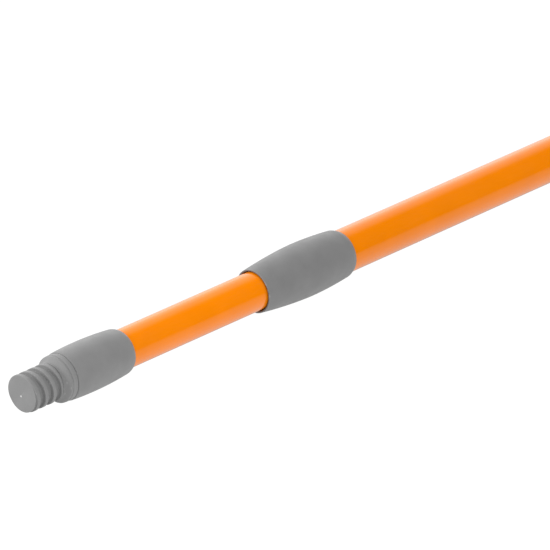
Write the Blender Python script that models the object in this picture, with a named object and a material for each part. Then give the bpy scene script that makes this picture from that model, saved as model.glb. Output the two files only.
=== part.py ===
"""Two-section roller extension pole with a twist lock inside, lying along the world's X axis.

The origin is the centre of the threaded tip's flat end face. +X runs back to the butt and +Z is up.
Each round piece is a profile of (distance along the pole, radius) turned about the pole's axis.
"""

import math

import bmesh
import bpy
from mathutils import Matrix, Vector

MM = 0.001
SEGMENTS = 40
LOCK_SEGMENTS = 32
SMALL_SEGMENTS = 16
GAP = 0.3
RUNNING_GAP = 0.15

# Pole layout, in millimetres from the tip's end face.
EXPOSED_TUBE = 87.4
CLOSED_LENGTH = 700.0

# Threaded tip: 3/4 inch, 5 threads an inch.
THREAD_PITCH = 25.4 / 5
THREAD_CREST_R = 9.3
THREAD_ROOT_R = 7.8
THREAD_CREST_WIDTH = 1.9
THREAD_ROOT_WIDTH = 3.3
THREAD_LENGTH = 17.4
THREAD_RUNOUT = 0.8
THREAD_PHASE_STEPS = 5.0
FACE_CHAMFER = 0.7
SHOULDER_FRONT_R = 8.7
SHOULDER_BEND = 20.4
SHOULDER_END = 21.6
SHOULDER_R = 11.38
BAND_END = 24.5
SPIGOT_END = 58.0
SPIGOT_CHAMFER = 1.0
EDGE_CHAMFER = 0.3

# Barrel sleeve on the tip, and its twin at the butt.
SLEEVE_FRONT = 24.8
SLEEVE_LENGTH = 38.35
SLEEVE_CROWN = 14.75
SLEEVE_R = 12.25
SLEEVE_BARREL_R = 207.0
SLEEVE_WALL_AT_RIM = 0.5
SLEEVE_TAPER = 3.6
SLEEVE_TAPER_BEND = 2.6

# Tubes.
INNER_R = 9.5
INNER_WALL = 0.6
INNER_START = 27.0
INNER_END = 604.0
OUTER_R = 10.65
OUTER_WALL = 0.55
TUBE_MOUTH_DEPTH = 34.0
TUBE_EDGE_ROUND = 0.12

# Guide collar.
COLLAR_LENGTH = 59.5
COLLAR_CROWN = 33.9
COLLAR_R = 13.33
COLLAR_FRONT_DROP = 2.52
COLLAR_CURVE_POWER = 1.75
COLLAR_WALL_AT_RIM = 0.25
COLLAR_TAPER = 2.8
COLLAR_TAPER_BEND = 2.0
COLLAR_LIP_ROUND = 0.9
COLLAR_LIP_FLAT = 0.35
COLLAR_POCKET_DEPTH = 10.7
BUSH_CLEARANCE = 0.1
BUSH_CHAMFER = (0.6, 0.3)

# Butt.
BUTT_HEAD_LENGTH = 22.0
BUTT_DOME_LENGTH = 16.5
BUTT_FACE_R = 6.5
BUTT_SPIGOT_LENGTH = 18.0
HANG_HOLE_R = 3.0

# Cross pins through a tube and the plug inside it.
PIN_R = 1.2
PIN_END_GAP = 0.2

# Twist lock, in millimetres behind the inner tube's end.
LOCK_CHAMFER = 0.4
PLUG_SPIGOT = 24.0
PLUG_FLANGE = 4.0
PLUG_FLANGE_R = 9.85
PLUG_BORE_DEPTH = 20.0
PLUG_VENT_R = 2.0
PLUG_PIN_AT = -12.0
SPINDLE_R = 3.2
SPINDLE_ROOT_R = 2.4
SPINDLE_THREAD_START = 21.0
SPINDLE_THREAD_END = 46.0
SPINDLE_END = 52.0
LOCK_PITCH = 4.0
LOCK_CREST_WIDTH = 1.1
LOCK_ROOT_WIDTH = 2.0
LOCK_FADE = 6
EXPANDER_R = 9.6
EXPANDER_END = 42.0
EXPANDER_SOLID_END = 14.0
EXPANDER_BORE_R = 3.6
CONE_START = 24.0
CONE_START_R = 4.8
CONE_SLOPE = 0.1444
SLOT_WIDTH = 2.4
SLOT_COUNT = 3
NUT_START = 26.0
NUT_END = 44.0
NUT_GAP = 0.45
KEY_OUTER_R = 8.1
RING_SECTION_R = 0.7
RING_R = 9.2
RING_GROOVE_R = 8.35
RING_FRONT_AT = 9.0
RING_REAR_AT = 34.0
WASHER_R = 6.5
WASHER_THICKNESS = 1.2
CLIP_R = 4.6
CLIP_THICKNESS = 0.8
CLIP_GROOVE_START = 47.6
CLIP_GROOVE_WIDTH = 1.2
CLIP_GROOVE_R = 1.8
CLIP_BORE_GAP = 0.25
CLIP_MOUTH = 3.0

# Worked out from the sizes above.
SLEEVE_END = SLEEVE_FRONT + SLEEVE_LENGTH
COLLAR_FRONT = SLEEVE_END + EXPOSED_TUBE
COLLAR_END = COLLAR_FRONT + COLLAR_LENGTH
OUTER_START = COLLAR_FRONT + TUBE_MOUTH_DEPTH
BUTT_END = CLOSED_LENGTH + EXPOSED_TUBE - GAP
BUTT_HEAD_START = BUTT_END - BUTT_HEAD_LENGTH
OUTER_END = BUTT_HEAD_START - GAP
BUTT_SLEEVE_START = OUTER_END - SLEEVE_LENGTH
BUTT_PIN_AT = OUTER_END - 0.5 * BUTT_SPIGOT_LENGTH
TIP_PIN_AT = 0.5 * (INNER_START + SPIGOT_END)
INNER_BORE_R = INNER_R - INNER_WALL
OUTER_BORE_R = OUTER_R - OUTER_WALL


def round_points(centre_x, centre_r, radius, start_deg, end_deg, steps=6):
    """Points on an arc; 0 degrees is towards the butt and 90 degrees is outwards."""
    points = []
    for i in range(steps + 1):
        angle = math.radians(start_deg + (end_deg - start_deg) * i / steps)
        points.append((centre_x + radius * math.cos(angle), centre_r + radius * math.sin(angle)))
    return points


def curve_points(radius_at, start, end, steps):
    """Points of the curve radius_at(x) from start to end."""
    xs = [start + (end - start) * i / steps for i in range(steps + 1)]
    return [(x, radius_at(x)) for x in xs]


def bend_points(first, corner, last, steps):
    """Points of a smooth bend between two points, heading for the corner that lies between them."""
    points = []
    for i in range(steps + 1):
        t = i / steps
        weights = ((1.0 - t) ** 2, 2.0 * t * (1.0 - t), t ** 2)
        x = sum(w * p[0] for w, p in zip(weights, (first, corner, last)))
        r = sum(w * p[1] for w, p in zip(weights, (first, corner, last)))
        points.append((x, r))
    return points


def link(name, mesh):
    obj = bpy.data.objects.new(name, mesh)
    bpy.context.scene.collection.objects.link(obj)
    return obj


def bake(obj, sharp_deg=32):
    """Replaces the object's mesh by what its modifiers make of it, shaded smooth with sharp edges."""
    graph = bpy.context.evaluated_depsgraph_get()
    mesh = bpy.data.meshes.new_from_object(obj.evaluated_get(graph))
    obj.modifiers.clear()
    obj.data = mesh
    mesh.shade_smooth()
    mesh.set_sharp_from_angle(angle=math.radians(sharp_deg))
    return obj


def turned(name, profile, segments=SEGMENTS):
    """A solid turned about the pole's axis; the profile runs along its outer side from butt to tip.

    A profile that meets the axis at both ends makes a solid piece; any other is closed into a ring.
    The half step leaves a flat facet lowest, so that the pole rests on it.
    """
    mesh = bpy.data.meshes.new(name)
    bm = bmesh.new()
    half_step = math.pi / segments
    out = Vector((math.cos(half_step), math.sin(half_step), 0.0))
    along = Vector((0.0, 0.0, 1.0))
    verts = [bm.verts.new((out * r + along * x) * MM) for x, r in profile]
    for first, second in zip(verts, verts[1:]):
        bm.edges.new((first, second))
    if profile[0][1] > 0.0 or profile[-1][1] > 0.0:
        bm.edges.new((verts[-1], verts[0]))
    bm.to_mesh(mesh)
    bm.free()
    obj = link(name, mesh)
    obj.rotation_euler = (0.0, math.radians(90), 0.0)
    screw = obj.modifiers.new("turn", "SCREW")
    screw.axis = "Z"
    screw.angle = math.tau
    screw.steps = segments
    screw.render_steps = segments
    screw.use_merge_vertices = True
    screw.merge_threshold = 0.000005
    screw.use_smooth_shade = True
    return bake(obj)


def cross_cylinder(name, at_x, radius, length, segments=SMALL_SEGMENTS):
    """A cylinder that crosses the pole's axis, lying along Y, turned and set down at at_x."""
    mesh = bpy.data.meshes.new(name)
    bm = bmesh.new()
    bmesh.ops.create_cone(
        bm, cap_ends=True, segments=segments, radius1=radius * MM, radius2=radius * MM, depth=length * MM
    )
    bm.to_mesh(mesh)
    bm.free()
    obj = link(name, mesh)
    obj.rotation_euler = (math.radians(90), 0.0, 0.0)
    obj.location = (at_x * MM, 0.0, 0.0)
    return bake(obj)


def block(name, low, high, turn_deg=0.0):
    """A box between two corners in millimetres, turned about the pole's axis."""
    mesh = bpy.data.meshes.new(name)
    bm = bmesh.new()
    bmesh.ops.create_cube(bm, size=1.0)
    size = [(b - a) * MM for a, b in zip(low, high)]
    middle = [(a + b) * 0.5 * MM for a, b in zip(low, high)]
    bmesh.ops.scale(bm, vec=size, verts=bm.verts)
    bmesh.ops.translate(bm, vec=middle, verts=bm.verts)
    bmesh.ops.rotate(bm, matrix=Matrix.Rotation(math.radians(turn_deg), 3, "X"), verts=bm.verts)
    bm.to_mesh(mesh)
    bm.free()
    return link(name, mesh)


def combine(obj, other, operation):
    """Cuts, joins or intersects with the other object, which is used up."""
    other.hide_render = True
    other.display_type = "WIRE"
    boolean = obj.modifiers.new("combine", "BOOLEAN")
    boolean.operation = operation
    boolean.solver = "EXACT"
    boolean.object = other
    bpy.context.view_layer.update()
    bake(obj)
    bpy.data.objects.remove(other)
    return obj


def helix_ridge(name, pitch, span, radii, widths, steps, phase, fade=1):
    """A right-handed thread ridge swept about the pole's axis over a span of it.

    radii and widths are those of the ridge's crest and its base; it dies away over fade steps at each end.
    """
    start, end = span
    crest_r, base_r = radii
    crest_width, base_width = widths
    mesh = bpy.data.meshes.new(name)
    bm = bmesh.new()
    count = int(round((end - start) / pitch * steps))
    rings = []
    for i in range(count + 1):
        along = start + pitch * i / steps
        turn = math.tau * i / steps + phase
        height = min(1.0, (i + 0.5) / fade, (count - i + 0.5) / fade)
        top_r = base_r + (crest_r - base_r) * height
        corners = [
            (-0.5 * base_width, base_r),
            (-0.5 * crest_width, top_r),
            (0.5 * crest_width, top_r),
            (0.5 * base_width, base_r),
        ]
        ring = []
        for offset, radius in corners:
            point = Vector((along + offset, radius * math.cos(turn), radius * math.sin(turn)))
            ring.append(bm.verts.new(point * MM))
        rings.append(ring)
    for near, far in zip(rings, rings[1:]):
        for a in range(4):
            b = (a + 1) % 4
            bm.faces.new((near[a], near[b], far[b], far[a]))
    bm.faces.new(rings[0])
    bm.faces.new(tuple(reversed(rings[-1])))
    bmesh.ops.recalc_face_normals(bm, faces=bm.faces)
    bm.to_mesh(mesh)
    bm.free()
    return link(name, mesh)


def paint(obj, name, colour, roughness, metallic, coat=0.0):
    """Gives the object its own Principled material."""
    material = bpy.data.materials.new(name)
    material.use_nodes = True
    shader = material.node_tree.nodes["Principled BSDF"]
    shader.inputs["Base Color"].default_value = (*colour, 1.0)
    shader.inputs["Roughness"].default_value = roughness
    shader.inputs["Metallic"].default_value = metallic
    shader.inputs["Coat Weight"].default_value = coat
    material.diffuse_color = (*colour, 1.0)
    obj.data.materials.clear()
    obj.data.materials.append(material)
    return obj


def orange_paint(obj):
    return paint(obj, obj.name + "_orange_paint", (0.90, 0.24, 0.005), 0.16, 0.0, 0.6)


def grey_plastic(obj):
    return paint(obj, obj.name + "_grey_plastic", (0.235, 0.225, 0.225), 0.42, 0.0)


def dark_plastic(obj):
    return paint(obj, obj.name + "_dark_plastic", (0.045, 0.045, 0.05), 0.45, 0.0)


def pale_plastic(obj):
    return paint(obj, obj.name + "_pale_plastic", (0.62, 0.60, 0.55), 0.40, 0.0)


def bright_steel(obj):
    return paint(obj, obj.name + "_bright_steel", (0.56, 0.57, 0.58), 0.28, 1.0)


def black_rubber(obj):
    return paint(obj, obj.name + "_black_rubber", (0.02, 0.02, 0.02), 0.75, 0.0)


def sleeve_radius(offset):
    """Outer radius of a barrel sleeve at a distance behind its thick end."""
    return SLEEVE_R - (offset - SLEEVE_CROWN) ** 2 / (2.0 * SLEEVE_BARREL_R)


def sleeve_profile(bore_r, extra_r):
    """Barrel sleeve from 0 at its thick end to its tapered rim, as (offset, radius)."""
    def outer_r(offset):
        return sleeve_radius(offset) + extra_r

    rim = (SLEEVE_LENGTH, bore_r + SLEEVE_WALL_AT_RIM)
    taper_start = SLEEVE_LENGTH - SLEEVE_TAPER
    bend = SLEEVE_LENGTH - SLEEVE_TAPER_BEND
    outer = curve_points(outer_r, EDGE_CHAMFER, taper_start, 7)
    return [
        (0.0, bore_r),
        (0.0, outer[0][1] - EDGE_CHAMFER),
        *outer[:-1],
        *bend_points(outer[-1], (bend, outer_r(bend)), rim, 4),
        (SLEEVE_LENGTH, bore_r),
    ]


def tip_sleeve():
    points = [(SLEEVE_FRONT + x, r) for x, r in sleeve_profile(INNER_R + RUNNING_GAP, 0.0)]
    return grey_plastic(turned("tip_sleeve", points[::-1]))


def butt_sleeve():
    points = [(OUTER_END - x, r) for x, r in sleeve_profile(OUTER_R + RUNNING_GAP, OUTER_R - INNER_R)]
    return grey_plastic(turned("butt_sleeve", points))


def threaded_tip():
    """Thread, shoulder and band outside, with a spigot inside the tube."""
    spigot_r = INNER_BORE_R - GAP
    dome = bend_points(
        (SHOULDER_END, SHOULDER_R), (SHOULDER_BEND, SHOULDER_R), (THREAD_LENGTH, SHOULDER_FRONT_R), 5
    )
    profile = [
        (SPIGOT_END, 0.0),
        (SPIGOT_END, spigot_r - SPIGOT_CHAMFER),
        (SPIGOT_END - SPIGOT_CHAMFER, spigot_r),
        (BAND_END, spigot_r),
        (BAND_END, SHOULDER_R - EDGE_CHAMFER),
        (BAND_END - EDGE_CHAMFER, SHOULDER_R),
        *dome,
        (THREAD_LENGTH - THREAD_RUNOUT, THREAD_ROOT_R),
        (-0.5 * THREAD_PITCH, THREAD_ROOT_R),
        (-0.5 * THREAD_PITCH, 0.0),
    ]
    tip = turned("threaded_tip", profile)
    ridge = helix_ridge(
        "thread_ridge", THREAD_PITCH, (-THREAD_PITCH, THREAD_LENGTH + 2.0),
        (THREAD_CREST_R, THREAD_ROOT_R - 0.6), (THREAD_CREST_WIDTH, THREAD_ROOT_WIDTH + 0.9),
        SEGMENTS, math.tau * THREAD_PHASE_STEPS / SEGMENTS,
    )
    combine(tip, ridge, "UNION")
    front = -3.0 * THREAD_PITCH
    far_r = 2.0 * THREAD_CREST_R
    trim = turned("face_trim", [
        (far_r - THREAD_CREST_R + FACE_CHAMFER, far_r),
        (front, far_r),
        (front, 0.0),
        (0.0, 0.0),
        (0.0, THREAD_CREST_R - FACE_CHAMFER),
    ])
    combine(tip, trim, "DIFFERENCE")
    combine(tip, cross_cylinder("pin_hole", TIP_PIN_AT, PIN_R + GAP, 4 * INNER_R), "DIFFERENCE")
    return grey_plastic(tip)


def cross_pin(name, at_x, tube_r):
    """A steel pin through a tube and its plug, ending just below the tube's outside."""
    pin = cross_cylinder(name, at_x, PIN_R, 2 * (tube_r - PIN_END_GAP))
    return bright_steel(pin)


def tube(name, start, end, outer_r, wall):
    inner_r = outer_r - wall
    edge = TUBE_EDGE_ROUND
    return turned(name, [
        (end, inner_r),
        (end, outer_r - edge),
        (end - edge, outer_r),
        (start + edge, outer_r),
        (start, outer_r - edge),
        (start, inner_r),
    ])


def inner_tube():
    piece = tube("inner_tube", INNER_START, INNER_END, INNER_R, INNER_WALL)
    for at_x in (TIP_PIN_AT, INNER_END + PLUG_PIN_AT):
        combine(piece, cross_cylinder("pin_hole", at_x, PIN_R + GAP, 4 * INNER_R), "DIFFERENCE")
    return orange_paint(piece)


def outer_tube():
    piece = tube("outer_tube", OUTER_START, OUTER_END, OUTER_R, OUTER_WALL)
    combine(piece, cross_cylinder("pin_hole", BUTT_PIN_AT, PIN_R + GAP, 4 * OUTER_R), "DIFFERENCE")
    return orange_paint(piece)


def collar_radius(offset):
    """Outer radius of the collar at a distance behind its front lip."""
    from_crown = abs(offset - COLLAR_CROWN) / COLLAR_CROWN
    return COLLAR_R - COLLAR_FRONT_DROP * from_crown ** COLLAR_CURVE_POWER


def collar():
    """Smooth guide collar, fixed round the outer tube's mouth."""
    lip_bore = INNER_R + GAP
    bore = OUTER_R + RUNNING_GAP
    taper_start = COLLAR_LENGTH - COLLAR_TAPER
    bend = COLLAR_LENGTH - COLLAR_TAPER_BEND
    outer = curve_points(collar_radius, COLLAR_LIP_ROUND, taper_start, 10)
    rim = (COLLAR_LENGTH, bore + COLLAR_WALL_AT_RIM)
    points = [
        (0.0, lip_bore),
        *bend_points((0.0, lip_bore + COLLAR_LIP_FLAT), (0.0, outer[0][1]), outer[0], 3),
        *outer[1:-1],
        *bend_points(outer[-1], (bend, collar_radius(bend)), rim, 4),
        (COLLAR_LENGTH, bore),
        (COLLAR_POCKET_DEPTH, bore),
        (COLLAR_POCKET_DEPTH, lip_bore),
    ]
    return grey_plastic(turned("collar", [(COLLAR_FRONT + x, r) for x, r in points[::-1]]))


def guide_bush():
    """Bearing ring between the collar's lip and the outer tube's mouth; also the pull-out stop."""
    start = COLLAR_FRONT + COLLAR_POCKET_DEPTH + GAP
    end = OUTER_START - GAP
    inner = INNER_R + RUNNING_GAP
    outer = OUTER_R - BUSH_CLEARANCE
    back, deep = BUSH_CHAMFER
    return pale_plastic(turned("guide_bush", [
        (end, inner + deep),
        (end, outer),
        (start, outer),
        (start, inner + deep),
        (start + back, inner),
        (end - back, inner),
    ]))


def butt_plug():
    """Plug in the outer tube's end, with a rounded head, a hang hole and a flat end face."""
    head_r = sleeve_radius(0.0) + OUTER_R - INNER_R - EDGE_CHAMFER
    spigot_r = OUTER_BORE_R - GAP
    spigot_start = OUTER_END - BUTT_SPIGOT_LENGTH
    dome_start = BUTT_END - BUTT_DOME_LENGTH
    dome = bend_points((BUTT_END, BUTT_FACE_R), (BUTT_END, head_r), (dome_start, head_r), 7)
    piece = turned("butt_plug", [
        (BUTT_END, 0.0),
        *dome,
        (BUTT_HEAD_START + EDGE_CHAMFER, head_r),
        (BUTT_HEAD_START, head_r - EDGE_CHAMFER),
        (BUTT_HEAD_START, spigot_r),
        (spigot_start + SPIGOT_CHAMFER, spigot_r),
        (spigot_start, spigot_r - SPIGOT_CHAMFER),
        (spigot_start, 0.0),
    ])
    hole = cross_cylinder("hang_hole", BUTT_HEAD_START + 0.5 * BUTT_HEAD_LENGTH, HANG_HOLE_R, 4 * OUTER_R)
    combine(piece, hole, "DIFFERENCE")
    combine(piece, cross_cylinder("pin_hole", BUTT_PIN_AT, PIN_R + GAP, 4 * OUTER_R), "DIFFERENCE")
    return grey_plastic(piece)


def lock_plug():
    """Plug in the inner tube's rear end; its flange stops the pole from being pulled apart."""
    end = INNER_END
    spigot_r = INNER_BORE_R - GAP
    bore = SPINDLE_R + GAP
    piece = turned("lock_plug", [
        (end + PLUG_FLANGE, bore),
        (end + PLUG_FLANGE, PLUG_FLANGE_R - LOCK_CHAMFER),
        (end + PLUG_FLANGE - LOCK_CHAMFER, PLUG_FLANGE_R),
        (end + GAP + LOCK_CHAMFER, PLUG_FLANGE_R),
        (end + GAP, PLUG_FLANGE_R - LOCK_CHAMFER),
        (end + GAP, spigot_r),
        (end - PLUG_SPIGOT + SPIGOT_CHAMFER, spigot_r),
        (end - PLUG_SPIGOT, spigot_r - SPIGOT_CHAMFER),
        (end - PLUG_SPIGOT, PLUG_VENT_R),
        (end - PLUG_BORE_DEPTH, PLUG_VENT_R),
        (end - PLUG_BORE_DEPTH, bore),
    ], LOCK_SEGMENTS)
    hole = cross_cylinder("pin_hole", end + PLUG_PIN_AT, PIN_R + GAP, 4 * INNER_R)
    combine(piece, hole, "DIFFERENCE")
    return pale_plastic(piece)


def lock_thread(name, crest_r, base_r, start, end, phase):
    widths = (LOCK_CREST_WIDTH, LOCK_ROOT_WIDTH + 0.5)
    span = (INNER_END + start, INNER_END + end)
    phase += math.tau * span[0] / LOCK_PITCH
    return helix_ridge(name, LOCK_PITCH, span, (crest_r, base_r), widths, SMALL_SEGMENTS, phase, LOCK_FADE)


def lock_spindle():
    """Steel spindle pinned into the lock plug, threaded for the wedge nut."""
    base = INNER_END
    groove = base + CLIP_GROOVE_START
    piece = turned("lock_spindle", [
        (base + SPINDLE_END, 0.0),
        (base + SPINDLE_END, SPINDLE_ROOT_R - LOCK_CHAMFER),
        (base + SPINDLE_END - LOCK_CHAMFER, SPINDLE_ROOT_R),
        (groove + CLIP_GROOVE_WIDTH, SPINDLE_ROOT_R),
        (groove + CLIP_GROOVE_WIDTH, CLIP_GROOVE_R),
        (groove, CLIP_GROOVE_R),
        (groove, SPINDLE_ROOT_R),
        (base + SPINDLE_THREAD_START, SPINDLE_ROOT_R),
        (base + SPINDLE_THREAD_START - 0.8, SPINDLE_R),
        (base - PLUG_BORE_DEPTH + GAP + LOCK_CHAMFER, SPINDLE_R),
        (base - PLUG_BORE_DEPTH + GAP, SPINDLE_R - LOCK_CHAMFER),
        (base - PLUG_BORE_DEPTH + GAP, 0.0),
    ], SMALL_SEGMENTS)
    ridge = lock_thread(
        "ridge", SPINDLE_R, SPINDLE_ROOT_R - 0.5, SPINDLE_THREAD_START - 1.0, SPINDLE_THREAD_END - 1.1, 0.0
    )
    combine(piece, ridge, "UNION")
    hole = cross_cylinder("pin_hole", base + PLUG_PIN_AT, PIN_R + GAP, 4 * SPINDLE_R)
    combine(piece, hole, "DIFFERENCE")
    return bright_steel(piece)


def cone_radius(behind):
    """Radius of the expander's inner cone at a distance behind the inner tube's end."""
    return CONE_START_R + CONE_SLOPE * (behind - CONE_START)


def expander():
    """Slotted plug whose fingers the wedge nut spreads against the outer tube's bore."""
    base = INNER_END
    front = PLUG_FLANGE + GAP
    half = RING_SECTION_R + 0.25
    profile = [
        (EXPANDER_END, cone_radius(EXPANDER_END)),
        (EXPANDER_END, EXPANDER_R - LOCK_CHAMFER),
        (EXPANDER_END - LOCK_CHAMFER, EXPANDER_R),
        (RING_REAR_AT + half, EXPANDER_R),
        (RING_REAR_AT + half, RING_GROOVE_R),
        (RING_REAR_AT - half, RING_GROOVE_R),
        (RING_REAR_AT - half, EXPANDER_R),
        (RING_FRONT_AT + half, EXPANDER_R),
        (RING_FRONT_AT + half, RING_GROOVE_R),
        (RING_FRONT_AT - half, RING_GROOVE_R),
        (RING_FRONT_AT - half, EXPANDER_R),
        (front + LOCK_CHAMFER, EXPANDER_R),
        (front, EXPANDER_R - LOCK_CHAMFER),
        (front, EXPANDER_BORE_R),
        (EXPANDER_SOLID_END, EXPANDER_BORE_R),
        (EXPANDER_SOLID_END + 2.0, CONE_START_R),
        (CONE_START, CONE_START_R),
    ]
    piece = turned("expander", [(base + x, r) for x, r in profile], LOCK_SEGMENTS)
    half_slot = 0.5 * SLOT_WIDTH
    for i in range(SLOT_COUNT):
        slot = block(
            "slot",
            (base + EXPANDER_SOLID_END + 3.0, -half_slot, 2.0),
            (base + EXPANDER_END + 2.0, half_slot, EXPANDER_R + 2.0),
            360.0 * i / SLOT_COUNT,
        )
        combine(piece, slot, "DIFFERENCE")
    return dark_plastic(piece)


def drag_ring(name, behind):
    """Rubber ring in a groove of the expander; its drag keeps the expander from turning."""
    centre = INNER_END + behind
    points = round_points(centre, RING_R, RING_SECTION_R, 0.0, 360.0, 6)
    return black_rubber(turned(name, points[:-1], 48))


def wedge_nut():
    """Cone on the spindle's thread, kept from turning by keys in the expander's slots."""
    base = INNER_END
    bore = SPINDLE_R + GAP
    piece = turned("wedge_nut", [
        (base + NUT_END, bore),
        (base + NUT_END, cone_radius(NUT_END) - NUT_GAP),
        (base + NUT_START, cone_radius(NUT_START) - NUT_GAP),
        (base + NUT_START, bore),
    ], LOCK_SEGMENTS)
    half_key = 0.5 * SLOT_WIDTH - GAP
    for i in range(SLOT_COUNT):
        key = block(
            "key",
            (base + NUT_START + 3.0, -half_key, bore + 0.6),
            (base + NUT_END - 3.0, half_key, KEY_OUTER_R),
            360.0 * i / SLOT_COUNT,
        )
        combine(piece, key, "UNION")
    ridge = lock_thread(
        "ridge", SPINDLE_ROOT_R + GAP, SPINDLE_R + GAP + 0.5, NUT_START + 1.6, NUT_END - 1.6, math.pi
    )
    combine(piece, ridge, "UNION")
    return pale_plastic(piece)


def stop_washer():
    """Washer behind the spindle's thread, so that the wedge nut can't run off."""
    start = INNER_END + SPINDLE_THREAD_END + GAP
    bore = SPINDLE_ROOT_R + GAP
    return bright_steel(turned("stop_washer", [
        (start + WASHER_THICKNESS, bore),
        (start + WASHER_THICKNESS, WASHER_R),
        (start, WASHER_R),
        (start, bore),
    ], 32))


def retaining_clip():
    """Open ring in the spindle's groove, holding the washer."""
    start = INNER_END + CLIP_GROOVE_START + 0.5 * (CLIP_GROOVE_WIDTH - CLIP_THICKNESS)
    bore = CLIP_GROOVE_R + CLIP_BORE_GAP
    piece = turned("retaining_clip", [
        (start + CLIP_THICKNESS, bore),
        (start + CLIP_THICKNESS, CLIP_R),
        (start, CLIP_R),
        (start, bore),
    ], SMALL_SEGMENTS)
    mouth = block(
        "mouth",
        (start - 1.0, -0.5 * CLIP_MOUTH, 0.0),
        (start + CLIP_THICKNESS + 1.0, 0.5 * CLIP_MOUTH, 2 * CLIP_R),
    )
    combine(piece, mouth, "DIFFERENCE")
    return bright_steel(piece)


def group(name, at_x, pieces, parent=None):
    """An empty on the pole's axis that carries the pieces of one moving section."""
    empty = bpy.data.objects.new(name, None)
    bpy.context.scene.collection.objects.link(empty)
    empty.location = (at_x * MM, 0.0, 0.0)
    bpy.context.view_layer.update()
    if parent is not None:
        empty.parent = parent
        empty.matrix_parent_inverse = parent.matrix_world.inverted()
        bpy.context.view_layer.update()
    for piece in pieces:
        piece.parent = empty
        piece.matrix_parent_inverse = empty.matrix_world.inverted()
    return empty


def build():
    for obj in list(bpy.data.objects):
        bpy.data.objects.remove(obj)
    rear = group("rear_section", OUTER_END, [
        outer_tube(), collar(), guide_bush(), butt_plug(), butt_sleeve(),
        cross_pin("butt_pin", BUTT_PIN_AT, OUTER_R),
    ])
    lock = group("lock_expander", INNER_END, [
        expander(), drag_ring("drag_ring_front", RING_FRONT_AT), drag_ring("drag_ring_rear", RING_REAR_AT),
    ], rear)
    group("lock_wedge", INNER_END, [wedge_nut()], lock)
    group("front_section", 0.0, [
        threaded_tip(), tip_sleeve(), cross_pin("tip_pin", TIP_PIN_AT, INNER_R), inner_tube(), lock_plug(),
        cross_pin("plug_pin", INNER_END + PLUG_PIN_AT, INNER_R), lock_spindle(), stop_washer(),
        retaining_clip(),
    ], lock)
    bpy.context.view_layer.update()


build()
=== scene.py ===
import math

import bmesh
import bpy
from mathutils import Matrix, Vector


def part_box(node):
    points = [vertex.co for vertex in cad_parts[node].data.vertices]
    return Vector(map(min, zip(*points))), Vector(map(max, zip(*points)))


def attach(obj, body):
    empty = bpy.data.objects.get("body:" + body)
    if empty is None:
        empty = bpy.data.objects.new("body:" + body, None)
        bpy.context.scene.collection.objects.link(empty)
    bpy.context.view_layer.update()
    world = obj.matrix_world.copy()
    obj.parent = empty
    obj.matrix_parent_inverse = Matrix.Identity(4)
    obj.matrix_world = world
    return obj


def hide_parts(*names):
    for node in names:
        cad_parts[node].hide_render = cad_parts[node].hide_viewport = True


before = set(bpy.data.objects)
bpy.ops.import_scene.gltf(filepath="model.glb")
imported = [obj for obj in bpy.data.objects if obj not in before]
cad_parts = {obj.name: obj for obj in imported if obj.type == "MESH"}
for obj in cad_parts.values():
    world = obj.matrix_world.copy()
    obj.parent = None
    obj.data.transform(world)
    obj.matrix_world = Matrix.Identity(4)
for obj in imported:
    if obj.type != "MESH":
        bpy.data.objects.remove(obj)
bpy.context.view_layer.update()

# Lengths are in millimetres, except in materials, on the floor, and for the light and camera.
MM = 0.001

# Sides of round pieces: the CAD's own count, then those used here, from large pieces to small.
CAD_SIDES = 40
FINE = 144
MEDIUM = 96
COARSE = 64
SMALL = 48

# Edges that turn by more than this are shaded sharp.
SHARP_ANGLE = math.radians(35)

# Thread of the tip, and its end face with the small gate mark.
TIP_PITCH = 25.4 / 5
TIP_CREST_R = 9.3
TIP_ROOT_R = 7.75
TIP_RIDGE_AT = 6.5
TIP_RIDGE_ANGLE = math.radians(145.2)
TIP_CREST_HALF = 0.80
TIP_FLANK = 0.45
TIP_FADE = (16.9, 18.6)
FACE_GROOVE_RISE = 1.1
FACE_GROOVE_REACH = 3.2
FACE_R = 8.85
FACE_ROUND = 0.55
FACE_DISH = 0.10
FACE_CENTRE_R = 2.4
GATE_YZ = (0.78, -1.33)
GATE_R = 0.42
GATE_HEIGHT = 0.16

# Shoulder and band behind the thread.
NECK = (18.6, 9.0)
NECK_LEAD = 1.6
NECK_RISE = 1.2
SHOULDER = (21.0, 11.34)
SHOULDER_BLEND = 0.5
RING_LINE = (21.6, 22.0)
RING_LINE_DEPTH = 0.12
BAND_R = 11.42
BAND_END = 24.1
SEAM = 24.8
SEAM_R = 11.38
SEAM_GAP = 0.12

# Barrel sleeves.
SLEEVE_CROWN = 14.6
SLEEVE_BARREL_R = 207.0
SLEEVE_TAPER = (3.0, 1.3)
SLEEVE_RIM_WALL = 0.48
SLEEVE_SETBACK = 0.3

# Guide collar.
COLLAR_CROWN = 33.9
COLLAR_FRONT_DROP = 2.52
COLLAR_CURVE_POWER = 1.75
COLLAR_TAPER = (2.8, 2.0)
COLLAR_RIM_WALL = 0.2
LIP_R = 10.82
LIP_FIT = 0.3

# Tubes, the fits of other pieces on and in them, and the cross pins with their holes.
INNER_WALL = 0.6
OUTER_WALL = 0.55
TUBE_ROUND = 0.16
TUBE_LONG_RUN = 20.0
TUBE_STEP = 12.0
SPIGOT_FIT = 0.3
SLEEVE_FIT = 0.15
COLLAR_FIT = 0.12
PIN_R = 1.2
PIN_HOLE_R = 1.5

# Butt plug and its hang hole.
BUTT_HEAD_R = 12.55
BUTT_FACE_R = 6.5
BUTT_DOME = 16.0
BUTT_GAP = 0.15
HANG_HOLE_BACK = 11.0
HANG_HOLE_R = 3.0
HANG_HOLE_HALF = 10.9
HANG_HOLE_FLARE = 1.2

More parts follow.
